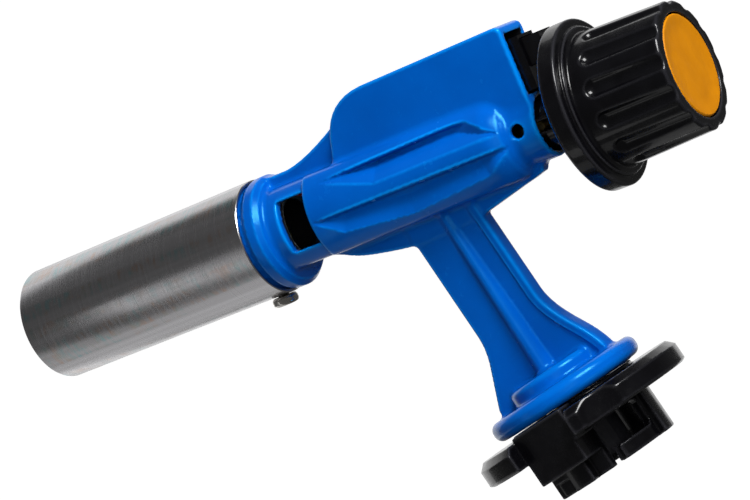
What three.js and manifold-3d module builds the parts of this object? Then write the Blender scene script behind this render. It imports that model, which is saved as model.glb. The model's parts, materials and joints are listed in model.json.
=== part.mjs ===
// Cartridge blow torch: a die-cast body with a flame tube in front, a combined valve and
// igniter knob behind, and a plastic coupling for a gas cartridge below.
//
// Units are millimetres. World +Z runs up the coupling's axis, the flame leaves towards -X,
// and Y = 0 is the plane of symmetry. The origin lies on the coupling's axis, in the plane
// of the seating disc's underside. The burner and the knob share one tilted line, the burner
// axis. Parts on it are built in the axis frame: x along the axis towards the knob, y to the
// side, z square to the axis and upwards.

import * as THREE from 'three';
import { mergeVertices } from 'three/addons/utils/BufferGeometryUtils.js';
import Module from 'manifold-3d';

const wasm = await Module();
wasm.setup();

// ---------------------------------------------------------------- driving dimensions
const GAP = 0.3;                    // clearance between neighbouring pieces

const AXIS_TILT = 12.76 * Math.PI / 180;   // burner axis, nose up
const AXIS_HEIGHT = 61.1;           // burner axis above the origin, on the coupling's axis

const TUBE_RADIUS = 12.5;           // flame tube, outside
const TUBE_WALL = 0.6;
const TUBE_FRONT = -99.1;           // mouth of the flame tube, along the axis
const COLLAR_FRONT = -37.9;
const COLLAR_RADIUS = 12.3;
const COLLAR_REAR = -33.4;
const SPIGOT_RADIUS = 11.55;        // what the flame tube slips over
const SPIGOT_FRONT = -46.2;
const TUBE_SCREW_AT = -41.6;

const NECK_RADIUS = 10.1;
const SHROUD_FRONT = -22;           // fluted swelling of the body
const SHROUD_REAR = 24.6;
const SHROUD_FRONT_RADIUS = 11.6;
const SHROUD_REAR_RADIUS = 9.9;
const FLAT_TOP = 8.9;               // flats above and below the neck and the swelling
const FLAT_BOTTOM = -8.4;

const HOUSING_HALF_WIDTH = 5.4;     // upright igniter housing on top
const HOUSING_TOP = 21.5;
const BODY_REAR = 31.7;
const REAR_TUBE_RADIUS = 6.9;

const STEM_FRONT = -9.3;            // world x of the stem's edges
const STEM_REAR = 7.5;
const STEM_HALF_WIDTH = 2.65;
const WEB_HALF_WIDTH = 1.55;
const FLANGE_RADIUS = 17.2;
const FLANGE_BOTTOM = 6.74;
const FLANGE_TOP = 10.8;
const BOSS_RADIUS = 11;
const BOSS_TOP = 14;

const DISC_RADIUS = 23.6;
const DISC_TOP = 3.97;
const SOCKET_RADIUS = 12.6;         // lower ring of the coupling, outside
const SOCKET_WALL = 1.8;
const SOCKET_BOTTOM = -9.4;
const SOCKET_CEILING = 2.2;
const LUG_RADIUS = 14.3;
const KEY_HALF_WIDTH = 6.4;         // block that enters the cartridge collar's notch
const KEY_FACE = -18.6;             // world y of its face
const KEY_BOTTOM = -4.8;
const SCREW_CIRCLE = 8.4;           // radius of the circle of coupling screws
const SLEEVE_RADIUS = 5.9;
const INLET_TOP = 12.9;             // top of the inlet's thread in the stem

const KNOB_FLANGE_FRONT = 39.4;     // the face that presses the igniter
const KNOB_FLANGE_RADIUS = 17.4;
const KNOB_FLANGE_THICKNESS = 4.4;
const KNOB_BASE_RADIUS = 14.0;
const KNOB_END_RADIUS = 13.3;
const KNOB_END = 64.4;
const KNOB_FLUTES = 13;
const KNOB_HUB_RADIUS = 5.2;
const KNOB_HUB_END = 28.8;
const KNOB_TRAVEL = 5;
const CAP_RADIUS = 10.5;

const SPINDLE_RADIUS = 2.2;
const SPINDLE_END = 53;
const CROSS_PIN_AT = 31.6;
const GLAND_RADIUS = 4.8;
const GLAND_FRONT = 14.3;
const GLAND_REAR = 22.7;

const PLUNGER_HALF_WIDTH = 2.8;
const PLUNGER_BOTTOM = 11.8;
const PLUNGER_TOP = 17.5;
const PIEZO_HALF_WIDTH = 3.6;
const PIEZO_BOTTOM = 7.3;
const PIEZO_TOP = 18.3;
const PIEZO_ROOF = 19.5;            // underside of the housing's roof
const PIEZO_FRONT = -2.5;
const PIEZO_REAR = 33.9;

const ELECTRODE_HEIGHT = 8.1;       // insulator and electrode above the axis

// ---------------------------------------------------------------- colours
const steel = { color: 0x8f8d8c, roughness: 0.35, metalness: 1 };
const chrome = { color: 0xc4c4c6, roughness: 0.18, metalness: 1 };
const brass = { color: 0xb58a3c, roughness: 0.35, metalness: 1 };
const bluePaint = { color: 0x0a5cb4, roughness: 0.3, metalness: 0 };
const blackPlastic = { color: 0x111113, roughness: 0.3, metalness: 0 };
const greyPlastic = { color: 0x3c3c42, roughness: 0.45, metalness: 0 };
const yellowPlastic = { color: 0xe29600, roughness: 0.45, metalness: 0 };
const rubber = { color: 0x1a1a1a, roughness: 0.8, metalness: 0 };
const ceramic = { color: 0xe8e4d8, roughness: 0.4, metalness: 0 };
const leadSheath = { color: 0xb03020, roughness: 0.6, metalness: 0 };

// ---------------------------------------------------------------- geometry helpers
// A closed geometry with shared vertices and outward faces.
function closed(geometry) {
  const bare = geometry.clone();
  for (const name of Object.keys(bare.attributes)) {
    if (name !== 'position') bare.deleteAttribute(name);
  }
  const merged = mergeVertices(bare, 1e-4);
  const p = merged.attributes.position;
  const index = merged.index.array;
  const kept = [];
  let volume = 0;
  for (let i = 0; i < index.length; i += 3) {
    const [a, b, c] = [index[i], index[i + 1], index[i + 2]];
    if (a === b || b === c || c === a) continue;
    kept.push(a, b, c);
    volume += p.getX(a) * (p.getY(b) * p.getZ(c) - p.getZ(b) * p.getY(c))
      - p.getY(a) * (p.getX(b) * p.getZ(c) - p.getZ(b) * p.getX(c))
      + p.getZ(a) * (p.getX(b) * p.getY(c) - p.getY(b) * p.getX(c));
  }
  if (volume < 0) kept.reverse();
  merged.setIndex(kept);
  return merged;
}

function toSolid(geometry) {
  const clean = closed(geometry);
  return new wasm.Manifold(new wasm.Mesh({
    numProp: 3,
    vertProperties: new Float32Array(clean.attributes.position.array),
    triVerts: new Uint32Array(clean.index.array),
  }));
}

function toGeometry(solid) {
  const mesh = solid.getMesh();
  const geometry = new THREE.BufferGeometry();
  geometry.setAttribute('position', new THREE.BufferAttribute(new Float32Array(mesh.vertProperties), 3));
  geometry.setIndex(new THREE.BufferAttribute(new Uint32Array(mesh.triVerts), 1));
  return geometry;
}

// The first shape with the shapes of `added` joined on and those of `removed` cut away.
function combine(first, added, removed = []) {
  let solid = toSolid(first);
  for (const geometry of added) solid = solid.add(toSolid(geometry));
  for (const geometry of removed) solid = solid.subtract(toSolid(geometry));
  return toGeometry(solid);
}

function common(first, second) {
  return toGeometry(toSolid(first).intersect(toSolid(second)));
}

// A turned shape. The profile is a list of [distance along the axis, radius].
function turned(profile, segments, direction = 'x') {
  const points = profile.map(([along, radius]) => new THREE.Vector2(radius, along));
  const geometry = new THREE.LatheGeometry(points, segments);
  if (direction === 'x') geometry.rotateZ(-Math.PI / 2);
  if (direction === 'z') geometry.rotateX(Math.PI / 2);
  return geometry;
}

function rod(start, end, radius, segments, direction = 'x') {
  return turned([[start, 0], [start, radius], [end, radius], [end, 0]], segments, direction);
}

// A turned tube. Its profile closes on itself.
function sleeve(start, end, outer, inner, segments, direction = 'x') {
  const profile = [[start, inner], [start, outer], [end, outer], [end, inner], [start, inner]];
  return turned(profile, segments, direction);
}

function block(x0, x1, y0, y1, z0, z1) {
  const geometry = new THREE.BoxGeometry(x1 - x0, y1 - y0, z1 - z0);
  return geometry.translate((x0 + x1) / 2, (y0 + y1) / 2, (z0 + z1) / 2);
}

// A side-view outline in x and z, given thickness across y.
function sidePlate(shape, halfWidth, curveSegments = 6) {
  const geometry = new THREE.ExtrudeGeometry(shape, {
    depth: 2 * halfWidth, bevelEnabled: false, curveSegments,
  });
  return geometry.rotateX(Math.PI / 2).translate(0, halfWidth, 0);
}

// A round bar along a smooth curve through the points.
function bentBar(points, radius, sides, steps) {
  const section = new THREE.Shape();
  for (let i = 0; i < sides; i += 1) {
    const angle = 2 * Math.PI * i / sides;
    const corner = [radius * Math.cos(angle), radius * Math.sin(angle)];
    if (i === 0) section.moveTo(...corner);
    else section.lineTo(...corner);
  }
  const path = new THREE.CatmullRomCurve3(points.map((p) => new THREE.Vector3(...p)));
  return new THREE.ExtrudeGeometry(section, { steps, extrudePath: path, bevelEnabled: false });
}

// A sector of a ring about the world Z axis. Angles are degrees from -Y towards +X.
function ringSector(inner, outer, centre, halfAngle, z0, z1) {
  const mid = (centre - 90) * Math.PI / 180;
  const half = halfAngle * Math.PI / 180;
  const shape = new THREE.Shape();
  shape.absarc(0, 0, outer, mid - half, mid + half, false);
  shape.absarc(0, 0, inner, mid + half, mid - half, true);
  const geometry = new THREE.ExtrudeGeometry(shape, {
    depth: z1 - z0, bevelEnabled: false, curveSegments: 6,
  });
  return geometry.translate(0, 0, z0);
}

const axisMatrix = new THREE.Matrix4()
  .makeTranslation(0, 0, AXIS_HEIGHT)
  .multiply(new THREE.Matrix4().makeRotationY(AXIS_TILT));

function fromAxisFrame(geometry) {
  return geometry.clone().applyMatrix4(axisMatrix);
}

// ---------------------------------------------------------------- the assembly
const torch = new THREE.Group();
const alongAxis = new THREE.Group();
alongAxis.position.z = AXIS_HEIGHT;
alongAxis.rotation.y = AXIS_TILT;
torch.add(alongAxis);

function place(parent, name, geometry, look) {
  const mesh = new THREE.Mesh(closed(geometry), new THREE.MeshStandardMaterial(look));
  mesh.name = name;
  parent.add(mesh);
  return mesh;
}

// ---------------------------------------------------------------- body casting
// Routes shared by the casting's holes and the pieces in them.
const leadRoute = [
  [-32.6, 0, ELECTRODE_HEIGHT], [-30, 0, 7.4], [-26, 0, 5.6], [-20, 0, 5.3],
  [-15, 0, 6.4], [-11, 0, 9.4], [-7.5, 0, 12.4], [PIEZO_FRONT - GAP, 0, 13.4],
];
const screwSpots = [90, 210, 330].map((degrees) => {
  const angle = (degrees - 90) * Math.PI / 180;
  return [SCREW_CIRCLE * Math.cos(angle), SCREW_CIRCLE * Math.sin(angle)];
});

function collarAndSpigot() {
  return turned([
    [SPIGOT_FRONT, 0], [SPIGOT_FRONT, SPIGOT_RADIUS], [COLLAR_FRONT, SPIGOT_RADIUS],
    [COLLAR_FRONT, COLLAR_RADIUS - 0.5], [COLLAR_FRONT + 0.5, COLLAR_RADIUS],
    [COLLAR_REAR - 1, COLLAR_RADIUS], [COLLAR_REAR - 0.3, COLLAR_RADIUS - 0.5],
    [COLLAR_REAR, COLLAR_RADIUS - 1.3], [COLLAR_REAR + 2.2, NECK_RADIUS],
    [COLLAR_REAR + 2.2, 0],
  ], 40);
}

function fluteCut(side, angle) {
  const spear = new THREE.SphereGeometry(1, 8, 6);
  spear.scale(21, 2.1, 1.5);
  spear.translate(1.5, 0, 0);
  const radius = 11.3;
  spear.rotateX(side * angle);
  return spear.translate(0, side * radius * Math.cos(angle), radius * Math.sin(angle));
}

function neckAndShroud() {
  const round = turned([
    [COLLAR_REAR - 1, 0], [COLLAR_REAR - 1, NECK_RADIUS], [SHROUD_FRONT - 0.2, NECK_RADIUS],
    [SHROUD_FRONT, SHROUD_FRONT_RADIUS], [SHROUD_REAR - 1.6, SHROUD_REAR_RADIUS],
    [SHROUD_REAR - 0.5, SHROUD_REAR_RADIUS - 0.6], [SHROUD_REAR, SHROUD_REAR_RADIUS - 1.8],
    [SHROUD_REAR + 0.2, 0],
  ], 40);
  const flats = block(-40, 30, -20, 20, FLAT_BOTTOM, FLAT_TOP);
  const grooves = [];
  for (const side of [-1, 1]) {
    grooves.push(fluteCut(side, 0.42), fluteCut(side, -0.3));
  }
  return combine(common(round, flats), [], grooves);
}

function igniterHousing() {
  const outline = new THREE.Shape();
  outline.moveTo(BODY_REAR, 0);
  outline.lineTo(BODY_REAR, HOUSING_TOP - 1.4);
  outline.quadraticCurveTo(BODY_REAR, HOUSING_TOP, BODY_REAR - 1.6, HOUSING_TOP);
  outline.lineTo(-2.5, HOUSING_TOP);
  outline.quadraticCurveTo(-10.8, HOUSING_TOP - 0.4, -13.3, 14.2);
  outline.lineTo(-15.4, 8);
  outline.lineTo(-15.4, 0);
  return sidePlate(outline, HOUSING_HALF_WIDTH);
}

function topWeb() {
  const outline = new THREE.Shape();
  outline.moveTo(-35.5, 7);
  outline.lineTo(-35.5, 11.5);
  outline.lineTo(-28, 11.5);
  outline.quadraticCurveTo(-22.5, 12, -13, 16.6);
  outline.lineTo(-12, 7);
  return sidePlate(outline, 1.9);
}

// Stem edges in world x and z, from the barrel down to the flange.
function stemOutline() {
  const outline = new THREE.Shape();
  outline.moveTo(STEM_FRONT, 49.8);
  outline.lineTo(STEM_FRONT, 27.5);
  outline.quadraticCurveTo(STEM_FRONT, 24.6, -10.6, 21.5);
  outline.lineTo(-14.9, 12.4);
  outline.lineTo(-14.9, FLANGE_TOP - 1);
  outline.lineTo(14.6, FLANGE_TOP - 1);
  outline.lineTo(14.0, 12.2);
  outline.quadraticCurveTo(13.2, 15, 11.4, 18);
  outline.quadraticCurveTo(STEM_REAR, 24.4, STEM_REAR, 28.4);
  outline.lineTo(STEM_REAR, 46.9);
  outline.lineTo(STEM_REAR, 52);
  outline.lineTo(STEM_FRONT, 55);
  return outline;
}

function frontPocket() {
  const outline = new THREE.Shape();
  outline.moveTo(STEM_FRONT + 3.2, 53);
  outline.lineTo(STEM_FRONT + 3.2, 27);
  outline.quadraticCurveTo(STEM_FRONT + 3.2, 24, -7.4, 20.5);
  outline.lineTo(-10.4, FLANGE_TOP);
  outline.lineTo(-2, FLANGE_TOP);
  outline.lineTo(-1, 53);
  return outline;
}

function rearPocket() {
  const outline = new THREE.Shape();
  outline.moveTo(STEM_REAR - 2.6, 49);
  outline.lineTo(STEM_REAR - 2.6, 28);
  outline.quadraticCurveTo(STEM_REAR - 2.6, 24, 7.6, 18);
  outline.lineTo(10.4, FLANGE_TOP);
  outline.lineTo(2, FLANGE_TOP);
  outline.lineTo(1, 49);
  return outline;
}

function stem() {
  const cuts = [];
  for (const outline of [frontPocket(), rearPocket()]) {
    for (const side of [-1, 1]) {
      const depth = 2;
      const pocket = sidePlate(outline, depth);
      cuts.push(pocket.translate(0, side * (WEB_HALF_WIDTH + depth), 0));
    }
  }
  return combine(sidePlate(stemOutline(), STEM_HALF_WIDTH), [], cuts);
}

// Thin web that ties the barrel to the stem, before and behind it.
function bellyWeb() {
  const outline = new THREE.Shape();
  outline.moveTo(-27.5, 60);
  outline.quadraticCurveTo(-24.5, 56, -19, 53.6);
  outline.quadraticCurveTo(-14, 51.4, STEM_FRONT, 49.8);
  outline.lineTo(STEM_REAR, 46.9);
  outline.lineTo(24.2, 46.9);
  outline.lineTo(25.6, 49);
  outline.lineTo(0, 58);
  return sidePlate(outline, WEB_HALF_WIDTH);
}

function gasPipe() {
  const profile = [[FLANGE_TOP - 1, 0], [FLANGE_TOP - 1, 4.6], [BOSS_TOP, 4.2], [52, 2.4], [52, 0]];
  return turned(profile, 16, 'z');
}

function footFlange() {
  return turned([
    [FLANGE_BOTTOM, 0], [FLANGE_BOTTOM, FLANGE_RADIUS - 1.2], [FLANGE_BOTTOM + 0.5, FLANGE_RADIUS - 0.3],
    [FLANGE_BOTTOM + 1.4, FLANGE_RADIUS], [FLANGE_TOP - 1.4, FLANGE_RADIUS],
    [FLANGE_TOP - 0.4, FLANGE_RADIUS - 0.6], [FLANGE_TOP, FLANGE_RADIUS - 1.8],
    [FLANGE_TOP, BOSS_RADIUS + 0.8], [FLANGE_TOP + 0.6, BOSS_RADIUS], [BOSS_TOP - 0.8, BOSS_RADIUS - 0.2],
    [BOSS_TOP, BOSS_RADIUS - 1.2], [BOSS_TOP, 0],
  ], 40, 'z');
}

function castingCuts() {
  const cuts = [
    rod(SPIGOT_FRONT - 1, -29, 5.6, 20),                      // seat of the mixing tube
    rod(-31, -10, 7.2, 20),                                   // mixing chamber
    rod(SPIGOT_FRONT - 1, -30.5, 1.9, 8).translate(0, 0, ELECTRODE_HEIGHT),
    block(-29.6, SHROUD_FRONT - 0.5, -14, 14, -4.8, 6.0),     // air windows, right through
    rod(-11, -4, 2.6, 16),                                    // jet thread
    rod(-5, -1, 0.8, 10),                                     // valve seat
    rod(-1.5, 8, 2.6, 16),                                    // valve chamber
    rod(7, 14, 4.1, 20),                                      // seal bore
    rod(13.5, 24, 5.0, 24),                                   // gland bore
    rod(23, 40, 5.8, 28),                                     // room for the knob's hub
    block(PIEZO_FRONT - GAP, 40, -3.9, 3.9, PIEZO_BOTTOM - GAP, PIEZO_ROOF),
    rod(-9, -4, 1.4, 14, 'y').translate(27.4, 0, 0.9),        // hole for driving the cross pin
    rod(-13, -5, 1.5, 8, 'z').translate(TUBE_SCREW_AT, 0, 0), // flame tube screw
    bentBar(leadRoute, 1.6, 6, 12),
  ];
  return cuts.map(fromAxisFrame);
}

function footCuts() {
  const cuts = [
    rod(FLANGE_BOTTOM - 1, INLET_TOP + GAP, 4.2, 16, 'z'),
    rod(INLET_TOP, AXIS_HEIGHT, 1.3, 8, 'z'),
  ];
  for (const [x, y] of screwSpots) {
    cuts.push(rod(FLANGE_BOTTOM - 1, 13, 1.5, 8, 'z').translate(x, y, 0));
  }
  return cuts;
}

function bodyCasting() {
  const axisPieces = [
    neckAndShroud(),
    rod(10, BODY_REAR, REAR_TUBE_RADIUS, 32),
    igniterHousing(),
    topWeb(),
  ].map(fromAxisFrame);
  const pieces = [...axisPieces, stem(), bellyWeb(), gasPipe(), footFlange()];
  return combine(fromAxisFrame(collarAndSpigot()), pieces, [...castingCuts(), ...footCuts()]);
}

place(torch, 'body_casting', bodyCasting(), bluePaint);

// ---------------------------------------------------------------- flame tube and burner
function flameTube() {
  const inner = TUBE_RADIUS - TUBE_WALL;
  const rear = COLLAR_FRONT - GAP;
  const shell = turned([
    [TUBE_FRONT + 0.5, inner], [TUBE_FRONT, inner + 0.15], [TUBE_FRONT, TUBE_RADIUS - 0.15],
    [TUBE_FRONT + 0.5, TUBE_RADIUS], [rear, TUBE_RADIUS], [rear, inner], [TUBE_FRONT + 0.5, inner],
  ], 48);
  const hole = rod(-14, -9, 1.6, 8, 'z').translate(TUBE_SCREW_AT, 0, 0);
  return combine(shell, [], [hole]);
}

// A pan head screw pointing along +z, its head's underside at z = 0.
function panHeadScrew(headRadius, headHeight, shankRadius, length) {
  const body = turned([
    [-headHeight, 0], [-headHeight, headRadius * 0.72], [-headHeight * 0.7, headRadius * 0.95],
    [-headHeight * 0.25, headRadius], [0, headRadius], [0, shankRadius],
    [length, shankRadius], [length, 0],
  ], 16, 'z');
  const slot = headRadius * 0.14;
  const reach = headRadius * 0.62;
  const depth = headHeight * 0.5;
  return combine(body, [], [
    block(-reach, reach, -slot, slot, -headHeight - 1, -headHeight + depth),
    block(-slot, slot, -reach, reach, -headHeight - 1, -headHeight + depth),
  ]);
}

function burnerTube() {
  return turned([
    [-62, 4.4], [-62, 5.3], [SPIGOT_FRONT - 1.6, 5.3], [SPIGOT_FRONT - 1.6, 6.6],
    [SPIGOT_FRONT - GAP, 6.6], [SPIGOT_FRONT - GAP, 5.3], [-37, 5.3], [-37, 4.4], [-62, 4.4],
  ], 20);
}

// A stainless disc round the burner tube, with a ring of air holes.
function flameHolder() {
  const disc = sleeve(-58.5, -57.3, TUBE_RADIUS - TUBE_WALL - GAP, 5.6, 36);
  const holes = [rod(-60, -56, 1.75, 8).translate(0, 0, ELECTRODE_HEIGHT)];
  for (let i = 1; i < 12; i += 1) {
    const angle = 2 * Math.PI * i / 12;
    const hole = rod(-60, -56, 1.15, 6);
    holes.push(hole.translate(0, 8.6 * Math.sin(angle), 8.6 * Math.cos(angle)));
  }
  return combine(disc, [], holes);
}

// The ported cap that closes the burner tube's end.
function burnerCap() {
  const cap = turned([
    [-65.4, 0], [-65.4, 5.2], [-64.8, 6.1], [-61, 6.1], [-61, 5.6], [-62.3, 5.6], [-62.3, 0],
  ], 20);
  const ports = [rod(-67, -60, 0.9, 6)];
  for (let i = 0; i < 8; i += 1) {
    const angle = 2 * Math.PI * i / 8;
    ports.push(rod(-67, -60, 0.7, 5).translate(0, 3.4 * Math.sin(angle), 3.4 * Math.cos(angle)));
  }
  return combine(cap, [], ports);
}

function igniterElectrode() {
  const wire = [
    [-34, 0, ELECTRODE_HEIGHT], [-45, 0, ELECTRODE_HEIGHT], [-60, 0, ELECTRODE_HEIGHT],
    [-66, 0, ELECTRODE_HEIGHT], [-69.2, 0, 6.9], [-70.2, 0, 4.2],
  ];
  return bentBar(wire, 0.5, 6, 14);
}

place(alongAxis, 'flame_tube', flameTube(), steel);
const tubeScrew = panHeadScrew(2.5, 1.9, 1.25, 4.6);
place(alongAxis, 'flame_tube_screw', tubeScrew.translate(TUBE_SCREW_AT, 0, -TUBE_RADIUS - 0.1), chrome);
place(alongAxis, 'burner_tube', burnerTube(), brass);
place(alongAxis, 'flame_holder', flameHolder(), steel);
place(alongAxis, 'burner_cap', burnerCap(), brass);
const insulator = sleeve(-60.5, -33, 1.5, 0.8, 12).translate(0, 0, ELECTRODE_HEIGHT);
place(alongAxis, 'electrode_insulator', insulator, ceramic);
place(alongAxis, 'igniter_electrode', igniterElectrode(), steel);
place(alongAxis, 'ignition_lead', bentBar(leadRoute, 1.1, 8, 14), leadSheath);

// ---------------------------------------------------------------- jet and valve
function gasJet() {
  const body = turned([
    [-14, 0.4], [-14, 1.6], [-13, 3.1], [-10.3, 3.1], [-10.3, 2.4], [-4.3, 2.4],
    [-4.3, 1.2], [-12, 1.2], [-13, 0.4], [-14, 0.4],
  ], 16);
  const hex = new THREE.CylinderGeometry(3.3, 3.3, 20, 6).rotateZ(Math.PI / 2);
  return common(body, hex);
}

function valveSpindle() {
  const body = turned([
    [-0.9, 0], [-0.9, 0.3], [1.4, 1.7], [2.2, 1.7], [2.2, SPINDLE_RADIUS],
    [9.8, SPINDLE_RADIUS], [9.8, 1.75], [12.2, 1.75], [12.2, SPINDLE_RADIUS],
    [SPINDLE_END, SPINDLE_RADIUS], [SPINDLE_END, 0],
  ], 16);
  return combine(body, [], [
    rod(-6, 6, 1.0, 8, 'y').translate(CROSS_PIN_AT, 0, 0),
    rod(SPINDLE_END - 7, SPINDLE_END + 1, 1.4, 8),
  ]);
}

function oRing(radius, thickness, at) {
  const ring = new THREE.TorusGeometry(radius, thickness, 8, 20);
  return ring.rotateY(Math.PI / 2).translate(at, 0, 0);
}

function glandNut() {
  const nut = turned([
    [GLAND_FRONT, 2.5], [GLAND_FRONT, GLAND_RADIUS], [GLAND_REAR - 0.4, GLAND_RADIUS],
    [GLAND_REAR, GLAND_RADIUS - 0.4], [GLAND_REAR, 2.5], [GLAND_FRONT, 2.5],
  ], 24);
  const driverSlot = block(GLAND_REAR - 1.2, GLAND_REAR + 1, -6, 6, -0.6, 0.6);
  return combine(nut, [], [driverSlot]);
}

place(alongAxis, 'gas_jet', gasJet(), brass);
place(alongAxis, 'valve_spindle', valveSpindle(), brass);
place(alongAxis, 'spindle_o_ring', oRing(2.95, 0.85, 11), rubber);
place(alongAxis, 'gland_nut', glandNut(), brass);
place(alongAxis, 'spindle_cross_pin', rod(-4.4, 4.4, 0.8, 12, 'y').translate(CROSS_PIN_AT, 0, 0), brass);
const knobScrew = panHeadScrew(3.1, 1.9, 1.15, 5.6).rotateY(-Math.PI / 2);
place(alongAxis, 'knob_screw', knobScrew.translate(SPINDLE_END + GAP, 0, 0), chrome);

// ---------------------------------------------------------------- piezo igniter
function piezoBody() {
  const shell = block(PIEZO_FRONT, PIEZO_REAR, -PIEZO_HALF_WIDTH, PIEZO_HALF_WIDTH, PIEZO_BOTTOM, PIEZO_TOP);
  const room = block(0, PIEZO_REAR + 1, -PLUNGER_HALF_WIDTH - 0.2, PLUNGER_HALF_WIDTH + 0.2,
    PLUNGER_BOTTOM - 0.2, PLUNGER_TOP + 0.2);
  return combine(shell, [], [room]);
}

function piezoPlunger() {
  const tip = KNOB_FLANGE_FRONT - GAP;
  return combine(
    block(15, tip - 0.9, -PLUNGER_HALF_WIDTH, PLUNGER_HALF_WIDTH, PLUNGER_BOTTOM, PLUNGER_TOP),
    [block(tip - 1.2, tip, -1.8, 1.8, PLUNGER_BOTTOM + 1.2, PLUNGER_TOP - 1.2)],
  );
}

place(alongAxis, 'piezo_body', piezoBody(), blackPlastic);
place(alongAxis, 'piezo_plunger', piezoPlunger(), blackPlastic);
place(alongAxis, 'piezo_crystal', rod(0.4, 8.5, 2.3, 16).translate(0, 0, 14.6), ceramic);

// ---------------------------------------------------------------- knob
function knobFlute(index) {
  const angle = 2 * Math.PI * (index + 0.75) / KNOB_FLUTES;
  const radius = 1.45;
  const start = KNOB_FLANGE_FRONT + 9;
  const channel = turned([
    [start, 0], [start + 0.3, radius * 0.7], [start + 1.1, radius],
    [KNOB_END + 2, radius], [KNOB_END + 2, 0],
  ], 10);
  return channel.translate(0, 0, 14.3).rotateX(angle);
}

function controlKnob() {
  const front = KNOB_FLANGE_FRONT;
  const rim = front + KNOB_FLANGE_THICKNESS;
  const outside = turned([
    [KNOB_HUB_END, 0], [KNOB_HUB_END, KNOB_HUB_RADIUS], [front, KNOB_HUB_RADIUS],
    [front, KNOB_FLANGE_RADIUS - 0.9], [front + 0.7, KNOB_FLANGE_RADIUS],
    [rim - 0.5, KNOB_FLANGE_RADIUS], [rim, KNOB_FLANGE_RADIUS - 0.5],
    [rim, KNOB_FLANGE_RADIUS - 1.6], [rim + 0.8, KNOB_FLANGE_RADIUS - 1.9],
    [rim + 0.8, KNOB_BASE_RADIUS + 0.6], [rim + 1.4, KNOB_BASE_RADIUS],
    [KNOB_END - 0.6, KNOB_END_RADIUS], [KNOB_END, KNOB_END_RADIUS - 0.6], [KNOB_END, 0],
  ], 52);
  const cuts = [
    rod(KNOB_HUB_END - 1, 54, SPINDLE_RADIUS + GAP, 16),
    block(KNOB_HUB_END - 1, CROSS_PIN_AT + KNOB_TRAVEL + 1.2, -6, 6, -1.1, 1.1),
    rod(SPINDLE_END - 0.2, KNOB_END, 4, 16),
    rod(KNOB_END - 1.6, KNOB_END + 1, CAP_RADIUS + GAP, 40),
  ];
  for (let i = 0; i < KNOB_FLUTES; i += 1) cuts.push(knobFlute(i));
  return combine(outside, [], cuts);
}

function knobCap() {
  return turned([
    [KNOB_END - 1.3, 0], [KNOB_END - 1.3, CAP_RADIUS], [KNOB_END - 0.3, CAP_RADIUS],
    [KNOB_END - 0.1, CAP_RADIUS - 0.4], [KNOB_END - 0.4, CAP_RADIUS - 1.6], [KNOB_END - 0.5, 0],
  ], 40);
}

place(alongAxis, 'control_knob', controlKnob(), blackPlastic);
place(alongAxis, 'knob_cap', knobCap(), yellowPlastic);

// ---------------------------------------------------------------- cartridge coupling
function seatingDisc() {
  return turned([
    [0, 0], [0, DISC_RADIUS - 0.4], [0.4, DISC_RADIUS], [DISC_TOP - 0.9, DISC_RADIUS],
    [DISC_TOP, DISC_RADIUS - 1.6], [DISC_TOP, 0],
  ], 56, 'z');
}

function couplingBody() {
  const key = block(-KEY_HALF_WIDTH, KEY_HALF_WIDTH, KEY_FACE, -8, KEY_BOTTOM, FLANGE_BOTTOM - GAP);
  const notch = block(-KEY_HALF_WIDTH, 9.9, -30, -14.4, -1, DISC_TOP + 1);
  const disc = combine(seatingDisc(), [], [notch]);
  const topPlate = rod(0.5, FLANGE_BOTTOM - GAP, 14.2, 40, 'z');
  const socket = rod(SOCKET_BOTTOM, 1, SOCKET_RADIUS, 40, 'z');
  const lugs = [
    ringSector(SOCKET_RADIUS - 1, LUG_RADIUS + 1.2, -8, 18, SOCKET_BOTTOM, KEY_BOTTOM + 0.2),
    ringSector(SOCKET_RADIUS - 1, LUG_RADIUS, 112, 18, SOCKET_BOTTOM, -5.4),
    ringSector(SOCKET_RADIUS - 1, LUG_RADIUS, 232, 18, SOCKET_BOTTOM, -5.4),
  ];
  const cuts = [
    rod(SOCKET_BOTTOM - 1, SOCKET_CEILING, SOCKET_RADIUS - SOCKET_WALL, 32, 'z'),
    rod(-20, 20, SLEEVE_RADIUS + GAP, 24, 'z'),
    ringSector(9, 16, 60, 24, -6.2, -0.4),
    ringSector(9, 16, 205, 18, -6.2, -0.4),
    ringSector(9, 16, 292, 20, -6.2, -0.4),
    block(KEY_HALF_WIDTH - 1.2, KEY_HALF_WIDTH + 1.2, -20, -9, -11, -0.4),
    rod(-2, 5, 9, 24, 'z').translate(0, -DISC_RADIUS - 7.4, 0).rotateZ(60 * Math.PI / 180),
  ];
  for (const [x, y] of screwSpots) cuts.push(rod(0, 8, 1.6, 8, 'z').translate(x, y, 0));
  return combine(disc, [key, topPlate, socket, ...lugs], cuts);
}

function inletNozzle() {
  return turned([
    [-2.8, 1.2], [-2.8, 3.2], [-2.2, 3.7], [3.4, 3.7], [3.4, 5.8], [6.3, 5.8], [6.3, 3.9],
    [INLET_TOP, 3.9], [INLET_TOP, 1.2], [-2.8, 1.2],
  ], 24, 'z');
}

place(torch, 'coupling_body', couplingBody(), blackPlastic);
place(torch, 'coupling_sleeve', sleeve(-7.4, 3.1, SLEEVE_RADIUS, SLEEVE_RADIUS - 1, 28, 'z'), greyPlastic);
place(torch, 'inlet_nozzle', inletNozzle(), brass);
place(torch, 'inlet_seal', sleeve(-4.6, -3.1, 3.1, 1.3, 20, 'z'), rubber);
screwSpots.forEach(([x, y], index) => {
  const screw = panHeadScrew(2.0, 1.6, 1.2, 10.4).translate(x, y, SOCKET_CEILING - 0.1);
  place(torch, `coupling_screw_${index + 1}`, screw, steel);
});

export default torch;
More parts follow.
